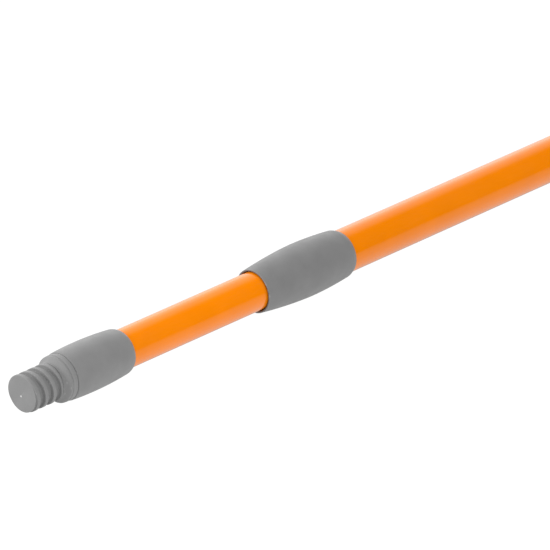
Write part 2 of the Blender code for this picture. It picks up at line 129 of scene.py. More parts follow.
# Screw thread of the twist lock; LOCK_THREAD is measured from the inner tube's end.
LOCK_PITCH = 4.0
LOCK_CREST_R = 3.2
LOCK_ROOT_R = 2.4
LOCK_DEPTH = 0.8
LOCK_CREST_HALF = 0.5
LOCK_FLANK = 0.55
LOCK_THREAD = (21.0, 46.0)
LOCK_BORE_FIT = 0.3

# Other pieces of the twist lock; the cone and the expander's step are measured from the inner tube's end.
PLUG_FLANGE_R = 9.82
CLIP_GROOVE_BACK = 4.4
CLIP_GROOVE_WIDTH = 1.2
CLIP_GROOVE_R = 1.8
CONE_START = 24.0
CONE_R = 4.8
CONE_SLOPE = 0.1444
CONE_GAP = 0.45
EXPANDER_R = 9.58
EXPANDER_BORE_R = 3.6
EXPANDER_STEP = (14.0, 16.0)
RING_GROOVE_R = 8.36
RING_GROOVE_HALF = 0.95
DRAG_RING_R = 9.2
NUT_MOUTH_R = 3.9
NUT_KEY_R = 8.08
WASHER_R = 6.45
WASHER_BORE_R = 2.72
CLIP_OUTER_R = 4.55
CLIP_INNER_R = 2.05

# Colours, the painted shade that each piece multiplies them by (below 1 it darkens a piece's copy of its
# material where the piece gets less light), and how far rubs roughen the paint.
PAINT_DARK = (0.79, 0.200, 0.0)
PAINT_LIGHT = (0.83, 0.212, 0.0)
INNER_PAINTED_SHADE = 1.0
OUTER_PAINTED_SHADE = 0.91
INNER_RUBS = 0.10
OUTER_RUBS = 0.05
SLEEVE_PAINTED_SHADE = 0.98
COLLAR_PAINTED_SHADE = 0.865
BUTT_PAINTED_SHADE = 0.94

# How much steel's fine lines are squeezed along X, Y and Z.
LINES_ALONG_POLE = (40.0, 2500.0, 2500.0)
LINES_ACROSS_POLE = (2500.0, 40.0, 2500.0)
LINES_ON_DISCS = (400.0, 400.0, 60.0)

# Floor, key light and camera, in metres and degrees.
FLOOR_HALF = 60.0
FLOOR_GAP = 0.0002
KEY_AT = (-0.52, 0.34, 0.30)
KEY_AIM = (0.02, 0.0, 0.0)
KEY_SIZE = 0.3
KEY_POWER = 2.6
CAMERA_AZIMUTH = -46.06
CAMERA_ELEVATION = 25.343
CAMERA_DISTANCE = 2.8831
CAMERA_AIM = (0.16557, 0.0, 0.0)
CAMERA_LIFT = 0.00316
CAMERA_LENS = 400.0


# ---------------------------------------------------------------- places from the frame

def ends(node):
    """Where a node starts and ends along the pole."""
    low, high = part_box(node)
    return low.x / MM, high.x / MM


def middle_of(node):
    return 0.5 * sum(ends(node))


def radius_of(node):
    """The radius of a round node; its CAD solid has flat sides above, below, left and right."""
    low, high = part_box(node)
    return 0.5 * (high.z - low.z) / MM / math.cos(math.pi / CAD_SIDES)


# ---------------------------------------------------------------- mesh tools

def at_angle(value, angle):
    """A number as it is, or a function's value at the angle."""
    return value(angle) if callable(value) else value


def shade(mesh):
    mesh.shade_smooth()
    mesh.set_sharp_from_angle(angle=SHARP_ANGLE)


def new_object(name, bm):
    bmesh.ops.recalc_face_normals(bm, faces=bm.faces)
    mesh = bpy.data.meshes.new(name)
    bm.to_mesh(mesh)
    bm.free()
    shade(mesh)
    obj = bpy.data.objects.new(name, mesh)
    bpy.context.scene.collection.objects.link(obj)
    return obj


def turned(name, stations, sides=FINE):
    """A closed solid turned about the pole's axis through stations of (x, radius).

    Either number may be a function of the angle. A station of radius 0 is a point on the axis;
    without one the stations close into a ring.
    """
    bm = bmesh.new()
    rings = []
    for x, radius in stations:
        if radius == 0.0:
            rings.append([bm.verts.new((at_angle(x, 0.0) * MM, 0.0, 0.0))])
            continue
        ring = []
        for i in range(sides):
            angle = math.tau * i / sides
            r = at_angle(radius, angle)
            point = Vector((at_angle(x, angle), r * math.cos(angle), r * math.sin(angle)))
            ring.append(bm.verts.new(point * MM))
        rings.append(ring)
    pairs = list(zip(rings, rings[1:]))
    if len(rings[0]) > 1 and len(rings[-1]) > 1:
        pairs.append((rings[-1], rings[0]))
    for near, far in pairs:
        for i in range(sides):
            j = (i + 1) % sides
            if len(near) == 1:
                bm.faces.new((near[0], far[i], far[j]))
            elif len(far) == 1:
                bm.faces.new((near[i], far[0], near[j]))
            else:
                bm.faces.new((near[i], far[i], far[j], near[j]))
    return new_object(name, bm)


def rounded(corners, steps=5, closed=True):
    """Points of an outline of (x, radius, rounding), with its rounded corners as arcs."""
    points = []
    count = len(corners)
    for i, (x, r, rounding) in enumerate(corners):
        is_end = not closed and i in (0, count - 1)
        if rounding <= 0.0 or is_end:
            points.append((x, r))
            continue
        here = Vector((x, r))
        before = (Vector(corners[i - 1][:2]) - here).normalized()
        after = (Vector(corners[(i + 1) % count][:2]) - here).normalized()
        half = 0.5 * before.angle(after)
        reach = rounding / math.tan(half)
        centre = here + (before + after).normalized() * (rounding / math.sin(half))
        first = here + before * reach - centre
        last = here + after * reach - centre
        sweep = first.angle_signed(last)
        for k in range(steps + 1):
            turn = Matrix.Rotation(-sweep * k / steps, 2)
            point = centre + turn @ first
            points.append((point.x, point.y))
    return points


def bend(first, corner, last, steps=10):
    """Points of a smooth bend between two points, heading for the corner that lies between them."""
    points = []
    for k in range(steps + 1):
        t = k / steps
        weights = ((1.0 - t) ** 2, 2.0 * t * (1.0 - t), t ** 2)
        points.append(tuple(sum(w * p[i] for w, p in zip(weights, (first, corner, last))) for i in (0, 1)))
    return points


def along(start, end, steps):
    """Evenly spaced numbers from start to end, with both of them in."""
    return [start + (end - start) * i / steps for i in range(steps + 1)]


def smooth_step(value):
    value = min(1.0, max(0.0, value))
    return value * value * (3.0 - 2.0 * value)


def soft_min(a, b, width):
    """The lower of two values, with the change from one to the other rounded off."""
    h = min(1.0, max(0.0, 0.5 + 0.5 * (b - a) / width))
    return b + (a - b) * h - width * h * (1.0 - h)


def soft_max(a, b, width):
    return -soft_min(-a, -b, width)


def ridge_height(x, angle, pitch, ridge_x, ridge_angle, crest_half, flank):
    """0 on a thread's root and 1 on its crest, with rounded corners."""
    turns = (x - ridge_x) / pitch - (angle - ridge_angle) / math.tau
    offset = abs(turns - round(turns)) * pitch
    return smooth_step((crest_half + flank - offset) / flank)


def cut(obj, cutter, operation="DIFFERENCE"):
    """Cuts the object with another, or joins them; the other is used up."""
    boolean = obj.modifiers.new("cut", "BOOLEAN")
    boolean.operation = operation
    boolean.solver = "EXACT"
    boolean.object = cutter
    graph = bpy.context.evaluated_depsgraph_get()
    mesh = bpy.data.meshes.new_from_object(obj.evaluated_get(graph))
    obj.modifiers.clear()
    obj.data = mesh
    shade(mesh)
    bpy.data.objects.remove(cutter)
    return obj


def across(at_x):
    """The move that lays a piece turned about X across the pole at at_x, along Y."""
    return Matrix.Translation((at_x * MM, 0.0, 0.0)) @ Matrix.Rotation(math.radians(90), 4, "Z")


def cross_hole(at_x, radius, half_length, flare=0.0, sides=SMALL):
    """A cutter across the pole, with its mouths opened out by flare; it runs on past half_length."""
    length = half_length + 4.0
    mouth = []
    if flare > 0.0:
        for k in range(7):
            bulge = math.sin(math.radians(90.0 * k / 6))
            mouth.append((half_length - flare * bulge, radius + flare * (1.0 - bulge)))
    stations = [(-length, 0.0), (-length, radius + flare)]
    stations += [(-x, r) for x, r in mouth]
    stations += list(reversed(mouth))
    stations += [(length, radius + flare), (length, 0.0)]
    cutter = turned("cutter", stations, sides)
    cutter.data.transform(across(at_x))
    return cutter


def box_cutter(low, high, turn_deg):
    """A box between two corners, turned about the pole's axis."""
    bm = bmesh.new()
    bmesh.ops.create_cube(bm, size=1.0)
    bmesh.ops.scale(bm, vec=[(b - a) * MM for a, b in zip(low, high)], verts=bm.verts)
    bmesh.ops.translate(bm, vec=[(a + b) * 0.5 * MM for a, b in zip(low, high)], verts=bm.verts)
    bmesh.ops.rotate(bm, matrix=Matrix.Rotation(math.radians(turn_deg), 3, "X"), verts=bm.verts)
    return new_object("cutter", bm)


def cut_around(obj, low, high, count, first_deg=0.0, operation="DIFFERENCE"):
    """Cuts or joins the same box at even turns about the pole's axis."""
    for i in range(count):
        cut(obj, box_cutter(low, high, first_deg + 360.0 / count * i), operation)


def place(obj, node, body, material):
    """Puts a finished piece in a CAD node's place."""
    obj.data.materials.clear()
    obj.data.materials.append(material)
    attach(obj, body)
    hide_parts(node)
    return obj


# ---------------------------------------------------------------- materials

def grey(level):
    return (level, level, level)


class Nodes:
    """Short ways to add and link the nodes of one material."""

    def __init__(self, name):
        self.material = bpy.data.materials.new(name)
        self.material.use_nodes = True
        self.tree = self.material.node_tree
        self.shader = self.tree.nodes["Principled BSDF"]
        coords = self.add("ShaderNodeTexCoord")
        self.place = coords.outputs["Object"]

    def add(self, kind, **settings):
        node = self.tree.nodes.new(kind)
        for key, value in settings.items():
            setattr(node, key, value)
        return node

    def link(self, output, target):
        self.tree.links.new(output, target)

    def stretched(self, x, y, z):
        """Place on the piece, scaled along each axis."""
        mapping = self.add("ShaderNodeMapping")
        mapping.inputs["Scale"].default_value = (x, y, z)
        self.link(self.place, mapping.inputs["Vector"])
        return mapping.outputs["Vector"]

    def noise(self, scale, detail=3.0, roughness=0.55, vector=None):
        node = self.add("ShaderNodeTexNoise")
        node.inputs["Scale"].default_value = scale
        node.inputs["Detail"].default_value = detail
        node.inputs["Roughness"].default_value = roughness
        self.link(vector or self.place, node.inputs["Vector"])
        return node.outputs["Fac"]

    def ranged(self, value, low, high, to_low, to_high):
        """The value carried from one range to another, and held within it."""
        node = self.add("ShaderNodeMapRange")
        for key, number in zip(("From Min", "From Max", "To Min", "To Max"), (low, high, to_low, to_high)):
            node.inputs[key].default_value = number
        self.link(value, node.inputs["Value"])
        return node.outputs["Result"]

    def clouds(self, scale, detail, to_low=0.0, to_high=1.0):
        """Soft patches between two values."""
        return self.ranged(self.noise(scale, detail), 0.3, 0.7, to_low, to_high)

    def math(self, operation, first, second):
        node = self.add("ShaderNodeMath", operation=operation)
        for value, socket in zip((first, second), node.inputs):
            if isinstance(value, (int, float)):
                socket.default_value = value
            else:
                self.link(value, socket)
        return node.outputs["Value"]

    def mix(self, factor, first, second):
        node = self.add("ShaderNodeMix", data_type="RGBA")
        self.link(factor, node.inputs["Factor"])
        for value, socket in zip((first, second), (node.inputs[6], node.inputs[7])):
            if isinstance(value, tuple):
                socket.default_value = (*value, 1.0)
            else:
                self.link(value, socket)
        return node.outputs[2]

    def edges(self, low, high):
        """0 on flat ground and 1 along outward edges."""
        geometry = self.add("ShaderNodeNewGeometry")
        return self.ranged(geometry.outputs["Pointiness"], low, high, 0.0, 1.0)

    def hollows(self, reach, low, high):
        """1 deep in grooves and 0 on open ground; reach is in metres."""
        node = self.add("ShaderNodeAmbientOcclusion")
        node.inputs["Distance"].default_value = reach
        return self.ranged(node.outputs["AO"], low, high, 1.0, 0.0)

    def bump(self, height, strength, distance, after=None):
        """A normal with small relief; distance is in metres, and after is a normal to add to."""
        node = self.add("ShaderNodeBump")
        node.inputs["Strength"].default_value = strength
        node.inputs["Distance"].default_value = distance
        self.link(height, node.inputs["Height"])
        if after is not None:
            self.link(after, node.inputs["Normal"])
        return node.outputs["Normal"]

    def colour(self, output):
        self.link(output, self.shader.inputs["Base Color"])

    def rough(self, output):
        self.link(output, self.shader.inputs["Roughness"])

    def normal(self, output):
        self.link(output, self.shader.inputs["Normal"])

    def value(self, name, number):
        self.shader.inputs[name].default_value = number


def orange_paint(name, slide_marks, painted_shade):
    """Gloss enamel on thin steel: faint orange peel, soft hazing and fine rubs along the tube."""
    n = Nodes(name)
    # Painted shade: the piece's shade number darkens both paint colours, in place of the light it gets.
    dark, light = (tuple(painted_shade * c for c in paint) for paint in (PAINT_DARK, PAINT_LIGHT))
    base = n.mix(n.clouds(70.0, 2.0), dark, light)
    worn = n.math("MULTIPLY", n.edges(0.56, 0.64), n.ranged(n.noise(900.0, 4.0), 0.45, 0.6, 0.0, 0.7))
    n.colour(n.mix(worn, base, (0.62, 0.52, 0.45)))
    haze = n.ranged(n.noise(45.0, 4.0), 0.3, 0.75, 0.07, 0.13)
    rubs = n.noise(1.0, 3.0, vector=n.stretched(25.0, 3200.0, 3200.0))
    rubs = n.ranged(rubs, 0.55, 0.75, 0.0, slide_marks)
    n.rough(n.math("ADD", haze, rubs))
    peel = n.bump(n.noise(700.0, 2.0), 0.05, 0.00004)
    n.normal(n.bump(rubs, 0.06, 0.00001, peel))
    n.value("IOR", 1.5)
    n.value("Specular IOR Level", 0.5)
    return n.material


def grey_plastic(name, painted_shade=1.0, gate=False):
    """Satin moulded plastic: fine eroded texture, cloudy flow marks, edges painted lighter as a highlight and
    hollows painted darker as shade.

    With gate, the tip's gate mark gets a lighter spot: a painted highlight on its real nub.
    """
    n = Nodes(name)
    # Painted shade: the piece's shade number darkens the greys, in place of the light it gets.
    base = n.mix(n.clouds(110.0, 4.0), grey(painted_shade * 0.190), grey(painted_shade * 0.212))
    speck = n.ranged(n.noise(5200.0, 2.0), 0.62, 0.72, 0.0, 0.35)
    base = n.mix(speck, base, grey(painted_shade * 0.27))
    # Painted highlight: edges and thread crests are lightened towards pale grey.
    painted_edge_highlight = n.ranged(n.edges(0.52, 0.58), 0.0, 1.0, 0.0, 0.5)
    base = n.mix(painted_edge_highlight, base, grey(0.33))
    if gate:
        # Painted highlight: a light spot on the gate mark's nub.
        spot = n.add("ShaderNodeVectorMath", operation="DISTANCE")
        n.link(n.place, spot.inputs[0])
        spot.inputs[1].default_value = (-0.0001, GATE_YZ[0] * MM, GATE_YZ[1] * MM)
        near = n.ranged(spot.outputs["Value"], GATE_R * 0.6 * MM, GATE_R * 1.5 * MM, 0.7, 0.0)
        base = n.mix(near, base, (0.80, 0.79, 0.78))
    # Painted shade: grooves, the neck's hollow and other recesses are darkened towards near black.
    painted_hollow_shade = n.ranged(n.hollows(0.003, 0.40, 0.95), 0.0, 1.0, 0.0, 0.28)
    n.colour(n.mix(painted_hollow_shade, base, grey(0.09)))
    n.rough(n.clouds(260.0, 4.0, 0.40, 0.50))
    grain = n.bump(n.noise(4200.0, 3.0), 0.16, 0.00003)
    n.normal(n.bump(n.noise(420.0, 3.0), 0.10, 0.00008, grain))
    n.value("IOR", 1.46)
    return n.material


def plain_plastic(name, dark, light, roughness):
    """Moulded plastic of the hidden pieces."""
    n = Nodes(name)
    base = n.mix(n.clouds(180.0, 4.0), dark, light)
    worn = n.ranged(n.edges(0.53, 0.60), 0.0, 1.0, 0.0, 0.35)
    n.colour(n.mix(worn, base, tuple(min(1.0, 1.5 * c + 0.02) for c in light)))
    n.rough(n.clouds(320.0, 4.0, roughness - 0.05, roughness + 0.07))
    n.normal(n.bump(n.noise(3600.0, 3.0), 0.14, 0.00003))
    return n.material


def steel(name, squeeze):
    """Plain drawn steel with fine lines and a slight bluish film."""
    n = Nodes(name)
    lines = n.noise(1.0, 4.0, vector=n.stretched(*squeeze))
    base = n.mix(n.ranged(lines, 0.3, 0.7, 0.0, 1.0), (0.50, 0.51, 0.53), (0.63, 0.63, 0.64))
    n.colour(n.mix(n.edges(0.54, 0.62), base, (0.78, 0.78, 0.78)))
    n.rough(n.ranged(lines, 0.3, 0.7, 0.24, 0.40))
    n.normal(n.bump(lines, 0.12, 0.00002))
    n.value("Metallic", 1.0)
    return n.material


def rubber(name):
    """Dull black rubber."""
    n = Nodes(name)
    n.colour(n.mix(n.clouds(400.0, 3.0), (0.012, 0.012, 0.013), (0.030, 0.030, 0.031)))
    n.rough(n.clouds(900.0, 3.0, 0.58, 0.78))
    n.normal(n.bump(n.noise(5000.0, 3.0), 0.25, 0.00003))
    return n.material


# ---------------------------------------------------------------- the tip and its sleeve

def tip_radius(x, angle):
    """Thread up to the neck, then the shoulder's rise."""
    ridge = ridge_height(x, angle, TIP_PITCH, TIP_RIDGE_AT, TIP_RIDGE_ANGLE, TIP_CREST_HALF, TIP_FLANK)
    fade = 1.0 - smooth_step((x - TIP_FADE[0]) / (TIP_FADE[1] - TIP_FADE[0]))
    root_r = TIP_ROOT_R + FACE_GROOVE_RISE * (1.0 - smooth_step(x / FACE_GROOVE_REACH))
    thread = root_r + (TIP_CREST_R - root_r) * ridge * fade
    neck = TIP_ROOT_R + (NECK[1] - TIP_ROOT_R) * smooth_step((x - NECK[0] + NECK_LEAD) / NECK_RISE)
    rise = smooth_step((x - NECK[0]) / (SHOULDER[0] - NECK[0]))
    return soft_max(thread, neck + (SHOULDER[1] - neck) * rise, SHOULDER_BLEND)


def tip_piece():
    start, end = ends("threaded_tip")
    spigot_r = radius_of("inner_tube") - INNER_WALL - SPIGOT_FIT

    def outline(x, angle):
        """The thread and shoulder, with the face's rim rounded off."""
        r = tip_radius(x, angle)
        rim = FACE_R + (TIP_CREST_R - FACE_R + 0.15) * math.sqrt(1.0 - (1.0 - min(1.0, x / FACE_ROUND)) ** 2)
        return soft_min(r, rim, 0.12) if x < 1.5 else r

    def face_x(r):
        """The face's dish and the gate mark's nub."""
        def at(angle):
            offset = math.hypot(r * math.cos(angle) - GATE_YZ[0], r * math.sin(angle) - GATE_YZ[1])
            nub = GATE_HEIGHT * smooth_step(1.6 * (1.0 - offset / GATE_R))
            dish = FACE_DISH * smooth_step((7.4 - r) / 6.0)
            return start + dish - nub
        return at

    stations = [(start + FACE_DISH, 0.0)]
    for r in along(0.12, FACE_CENTRE_R, 22):
        stations.append((face_x(r), r))
    for share in along(0.0, 1.0, 8)[1:]:
        r = FACE_CENTRE_R + 5.6 * share
        stations.append((face_x(r), r))
    stations.append((start, lambda angle: outline(0.0, angle) - 0.22))
    for x in along(0.0, 1.0, 14):
        stations.append((start + max(0.03, x), lambda angle, x=x: outline(x, angle)))
    for x in along(1.0, SHOULDER[0], 222)[1:]:
        stations.append((start + x, lambda angle, x=x: outline(x, angle)))
    line_start, line_end = RING_LINE
    line_r = SHOULDER[1] - RING_LINE_DEPTH
    seam = start + SEAM
    stations += [
        (start + line_start - 0.08, SHOULDER[1]),
        (start + line_start + 0.02, SHOULDER[1] - 0.06),
        (start + line_start + 0.12, line_r),
        (start + line_end - 0.08, line_r),
        (start + line_end + 0.02, BAND_R - 0.08),
        (start + line_end + 0.16, BAND_R),
        (start + BAND_END - 0.20, BAND_R),
        (start + BAND_END, BAND_R - 0.04),
        (start + BAND_END + 0.20, SEAM_R),
        (seam - 0.10, SEAM_R - 0.02),
        (seam, SEAM_R - 0.12),
        (seam, spigot_r + 0.6),
        (seam + 0.3, spigot_r),
    ]
    for x in along(seam + 6.0, end - 1.0, 3):
        stations.append((x, spigot_r))
    stations += [(end, spigot_r - 1.0), (end, 0.0)]
    piece = turned("tip_thread_and_shoulder", stations)
    cut(piece, cross_hole(middle_of("tip_pin"), PIN_HOLE_R, 12.0))
    return place(piece, "threaded_tip", "front_section", grey_plastic("tip_grey_plastic", gate=True))


def barrel(thick_end, thin_end, crown_r, bore_r):
    """Outline of a barrel sleeve between its thick and its thin end."""
    length = abs(thin_end - thick_end)
    way = 1.0 if thin_end > thick_end else -1.0
    taper_start, taper_bend = (length - back for back in SLEEVE_TAPER)
    rim_r = bore_r + SLEEVE_RIM_WALL

    def outer(offset):
        return crown_r - (offset - SLEEVE_CROWN) ** 2 / (2.0 * SLEEVE_BARREL_R)

    points = [(0.0, bore_r + 0.25)]
    points += bend((0.0, outer(0.0) - 0.50), (0.05, outer(0.0) - 0.02), (0.75, outer(0.75)), 8)
    for offset in along(0.75, taper_start, 40)[1:-1]:
        points.append((offset, outer(offset)))
    points += bend(
        (taper_start, outer(taper_start)), (taper_bend, outer(taper_bend)), (length - 0.12, rim_r + 0.10), 14
    )
    points += [(length - 0.03, rim_r), (length, rim_r - 0.12)]
    points += [(length, bore_r + 0.12), (length - 0.12, bore_r)]
    for offset in along(length - 2.0, 2.0, 4):
        points.append((offset, bore_r))
    points.append((0.25, bore_r))
    return [(thick_end + way * x, r) for x, r in points]


def tip_sleeve_piece():
    end = ends("tip_sleeve")[1] - SLEEVE_SETBACK
    stations = barrel(SEAM + SEAM_GAP, end, radius_of("tip_sleeve"), radius_of("inner_tube") + SLEEVE_FIT)
    piece = turned("tip_barrel_sleeve", stations)
    return place(piece, "tip_sleeve", "front_section", grey_plastic("tip_sleeve_grey_plastic", SLEEVE_PAINTED_SHADE))


def tube_piece(name, node, body, wall, holes, slide_marks, painted_shade):
    """A painted tube with cross holes; its long straight runs are split into short steps."""
    start, end = ends(node)
    outer = radius_of(node)
    inner = outer - wall
    corners = [(x, r, TUBE_ROUND) for x, r in ((start, outer), (end, outer), (end, inner), (start, inner))]
    outline = rounded(corners, 4)
    spaced = []
    for here, ahead in zip(outline, outline[1:] + outline[:1]):
        spaced.append(here)
        gap = ahead[0] - here[0]
        if abs(gap) > TUBE_LONG_RUN:
            steps = int(abs(gap) / TUBE_STEP)
            spaced += [(x, here[1]) for x in along(here[0], ahead[0], steps)[1:-1]]
    piece = turned(name, spaced)
    for at_x in holes:
        cut(piece, cross_hole(at_x, PIN_HOLE_R, 1.5 * outer))
    return place(piece, node, body, orange_paint(name + "_orange_paint", slide_marks, painted_shade))


# ---------------------------------------------------------------- the collar and its bush

def collar_piece():
    start, end = ends("collar")
    length = end - start
    crown_r = radius_of("collar")
    lip_bore = radius_of("inner_tube") + LIP_FIT
    bore = radius_of("outer_tube") + COLLAR_FIT
    pocket = ends("guide_bush")[0] - 0.3
    taper_start, taper_bend = (length - back for back in COLLAR_TAPER)

    def outer(offset):
        from_crown = abs(offset - COLLAR_CROWN) / COLLAR_CROWN
        return crown_r - COLLAR_FRONT_DROP * from_crown ** COLLAR_CURVE_POWER

    stations = [(start + 0.9, lip_bore), (start + 0.6, lip_bore + 0.04)]
    stations += bend((start + 0.14, LIP_R - 0.72), (start - 0.10, LIP_R - 0.24), (start + 0.18, LIP_R), 6)
    stations.append((start + 0.5, 0.5 * (LIP_R + outer(0.9))))
    for offset in along(0.9, taper_start, 64)[:-1]:
        stations.append((start + offset, outer(offset)))
    rim_r = bore + COLLAR_RIM_WALL
    taper = bend(
        (taper_start, outer(taper_start)), (taper_bend, outer(taper_bend)), (length - 0.12, rim_r + 0.10), 14
    )
    stations += [(start + x, r) for x, r in taper]
    stations += [(end - 0.03, rim_r), (end, rim_r - 0.10)]
    stations += [(end, bore + 0.08), (end - 0.1, bore)]
    for x in along(end - 3.0, pocket + 3.0, 6):
        stations.append((x, bore))
    stations += [(pocket + 0.2, bore), (pocket, bore - 0.2)]
    stations += [(pocket, lip_bore + 0.3), (pocket - 0.3, lip_bore)]
    piece = turned("guide_collar", stations)
    return place(piece, "collar", "rear_section", grey_plastic("collar_grey_plastic", COLLAR_PAINTED_SHADE))


def bush_piece():
    start, end = ends("guide_bush")
    inner = radius_of("inner_tube") + SLEEVE_FIT
    outer = radius_of("guide_bush")
    corners = [(start, outer, 0.4), (end, outer, 0.4), (end, inner, 0.5), (start, inner, 0.5)]
    piece = turned("guide_collar_bush", rounded(corners, 5), MEDIUM)
    cut_around(piece, (start - 1.0, -0.6, inner - 1.0), (end - 4.0, 0.6, inner + 0.45), 4, 45.0)
    material = plain_plastic("bush_natural_plastic", (0.58, 0.56, 0.50), (0.68, 0.66, 0.61), 0.38)
    return place(piece, "guide_bush", "rear_section", material)


# ---------------------------------------------------------------- the butt

def butt_plug_piece():
    start, end = ends("butt_plug")
    head = ends("butt_sleeve")[1] + BUTT_GAP
    spigot_r = radius_of("outer_tube") - OUTER_WALL - SPIGOT_FIT
    stations = [(end, 0.0), (end, 3.0), (end, BUTT_FACE_R - 0.5)]
    for degrees in along(0.0, 90.0, 32):
        angle = math.radians(degrees)
        x = end - BUTT_DOME + BUTT_DOME * math.cos(angle)
        stations.append((x, BUTT_FACE_R + (BUTT_HEAD_R - BUTT_FACE_R) * math.sin(angle)))
    stations += [(head + 0.45, BUTT_HEAD_R), (head + 0.15, BUTT_HEAD_R - 0.06), (head, BUTT_HEAD_R - 0.25)]
    stations += [(head, spigot_r + 0.4), (head - 0.4, spigot_r)]
    for x in along(head - 4.0, start + 1.0, 3):
        stations.append((x, spigot_r))
    stations += [(start, spigot_r - 1.0), (start, 0.0)]
    piece = turned("butt_plug_head", list(reversed(stations)))
    cut(piece, cross_hole(end - HANG_HOLE_BACK, HANG_HOLE_R, HANG_HOLE_HALF, HANG_HOLE_FLARE, COARSE))
    cut(piece, cross_hole(middle_of("butt_pin"), PIN_HOLE_R, 16.0))
    return place(piece, "butt_plug", "rear_section", grey_plastic("butt_plug_grey_plastic", BUTT_PAINTED_SHADE))


def butt_sleeve_piece():
    start, end = ends("butt_sleeve")
    stations = barrel(end, start, radius_of("butt_sleeve"), radius_of("outer_tube") + SLEEVE_FIT)
    piece = turned("butt_barrel_sleeve", stations)
    return place(piece, "butt_sleeve", "rear_section", grey_plastic("butt_sleeve_grey_plastic", BUTT_PAINTED_SHADE))


def pin_piece(name, node, body):
    low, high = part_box(node)
    half = 0.5 * (high.y - low.y) / MM
    middle = 0.5 * (low.x + high.x) / MM
    corners = [(-half, 0.0, 0.0), (-half, PIN_R, 0.35), (half, PIN_R, 0.35), (half, 0.0, 0.0)]
    piece = turned(name, rounded(corners, 4, closed=False), SMALL)
    piece.data.transform(across(middle))
    return place(piece, node, body, steel(name + "_steel", LINES_ACROSS_POLE))


# ---------------------------------------------------------------- the twist lock

def lock_ridge(x, angle, shift=0.0):
    return ridge_height(x - shift, angle, LOCK_PITCH, 0.0, 0.0, LOCK_CREST_HALF, LOCK_FLANK)


def spindle_piece():
    start, end = ends("lock_spindle")
    base = ends("inner_tube")[1]
    first, last = (base + offset for offset in LOCK_THREAD)

    def outline(x, angle):
        """The plain shank ahead of the thread, and the thread with its ends faded out."""
        grow = smooth_step((x - first + 1.0) / 2.5) * smooth_step((last - x) / 2.0)
        shank = smooth_step((first - x) / 0.9)
        return max(LOCK_ROOT_R + LOCK_DEPTH * lock_ridge(x, angle) * grow, LOCK_ROOT_R + LOCK_DEPTH * shank)

    stations = [(start, 0.0), (start, LOCK_CREST_R - 0.5), (start + 0.15, LOCK_CREST_R - 0.15)]
    stations += [(start + 0.5, LOCK_CREST_R)]
    for x in along(start + 3.0, first - 1.2, 8):
        stations.append((x, LOCK_CREST_R))
    for x in along(first - 1.1, last + 0.2, 170):
        stations.append((x, lambda angle, x=x: outline(x, angle)))
    near = end - CLIP_GROOVE_BACK
    far = near + CLIP_GROOVE_WIDTH
    stations += [
        (near - 0.05, LOCK_ROOT_R), (near, LOCK_ROOT_R - 0.06),
        (near, CLIP_GROOVE_R + 0.05), (near + 0.05, CLIP_GROOVE_R),
        (far - 0.05, CLIP_GROOVE_R), (far, CLIP_GROOVE_R + 0.05),
        (far, LOCK_ROOT_R - 0.06), (far + 0.05, LOCK_ROOT_R),
    ]
    stations += [(end - 0.4, LOCK_ROOT_R), (end, LOCK_ROOT_R - 0.4), (end, 0.0)]
    piece = turned("lock_spindle_screw", stations, COARSE)
    cut(piece, cross_hole(middle_of("plug_pin"), PIN_HOLE_R, 8.0))
    return place(piece, "lock_spindle", "front_section", steel("spindle_steel", LINES_ALONG_POLE))


def lock_plug_piece():
    start, end = ends("lock_plug")
    tube_end = ends("inner_tube")[1]
    spigot_r = radius_of("inner_tube") - INNER_WALL - SPIGOT_FIT
    bore = LOCK_CREST_R + LOCK_BORE_FIT
    flange = tube_end + 0.3
    corners = [
        (start, 2.0, 0.0), (start, spigot_r, 1.0), (flange, spigot_r, 0.0), (flange, PLUG_FLANGE_R, 0.3),
        (end, PLUG_FLANGE_R, 0.5), (end, bore, 0.3), (start + 4.0, bore, 0.0), (start + 4.0, 2.0, 0.0),
    ]
    piece = turned("lock_plug_flanged", rounded(corners, 5), MEDIUM)
    cut_around(piece, (start - 1.0, -0.9, spigot_r - 0.7), (tube_end - 4.0, 0.9, spigot_r + 1.0), 6, 30.0)
    cut(piece, cross_hole(middle_of("plug_pin"), PIN_HOLE_R, 14.0))
    material = plain_plastic("plug_natural_plastic", (0.56, 0.54, 0.48), (0.66, 0.64, 0.58), 0.40)
    return place(piece, "lock_plug", "front_section", material)


def cone_radius(behind):
    """Radius of the expander's cone at a distance behind the inner tube's end."""
    return CONE_R + CONE_SLOPE * (behind - CONE_START)


def expander_piece():
    start, end = ends("expander")
    base = ends("inner_tube")[1]
    step_start, step_end = (base + offset for offset in EXPANDER_STEP)
    outer = EXPANDER_R
    corners = [(start, EXPANDER_BORE_R, 0.3), (start, outer, 0.5)]
    for node in ("drag_ring_front", "drag_ring_rear"):
        near, far = middle_of(node) - RING_GROOVE_HALF, middle_of(node) + RING_GROOVE_HALF
        corners += [(near, outer, 0.15), (near, RING_GROOVE_R, 0.3)]
        corners += [(far, RING_GROOVE_R, 0.3), (far, outer, 0.15)]
    corners += [(end, outer, 0.5), (end, cone_radius(end - base), 0.3)]
    corners += [(base + CONE_START, CONE_R, 0.0), (step_end, CONE_R, 0.3), (step_start, EXPANDER_BORE_R, 0.3)]
    piece = turned("lock_expander_fingers", rounded(corners, 4), MEDIUM)
    # The slots between the fingers, then the fine grooves along their grip.
    cut_around(piece, (base + 17.0, -1.2, 2.0), (end + 2.0, 1.2, outer + 2.0), 3)
    cut_around(piece, (base + 20.0, -0.35, outer - 0.35), (base + 30.5, 0.35, outer + 1.0), 12, 15.0)
    material = plain_plastic("expander_black_plastic", (0.022, 0.022, 0.024), (0.040, 0.040, 0.043), 0.46)
    return place(piece, "expander", "lock_expander", material)


def drag_ring_piece(name, node):
    start, end = ends(node)
    middle, section = 0.5 * (start + end), 0.5 * (end - start)
    stations = []
    for k in range(20):
        angle = math.tau * k / 20
        stations.append((middle + section * math.cos(angle), DRAG_RING_R + section * math.sin(angle)))
    piece = turned(name, stations, MEDIUM)
    return place(piece, node, "lock_expander", rubber(name + "_rubber"))


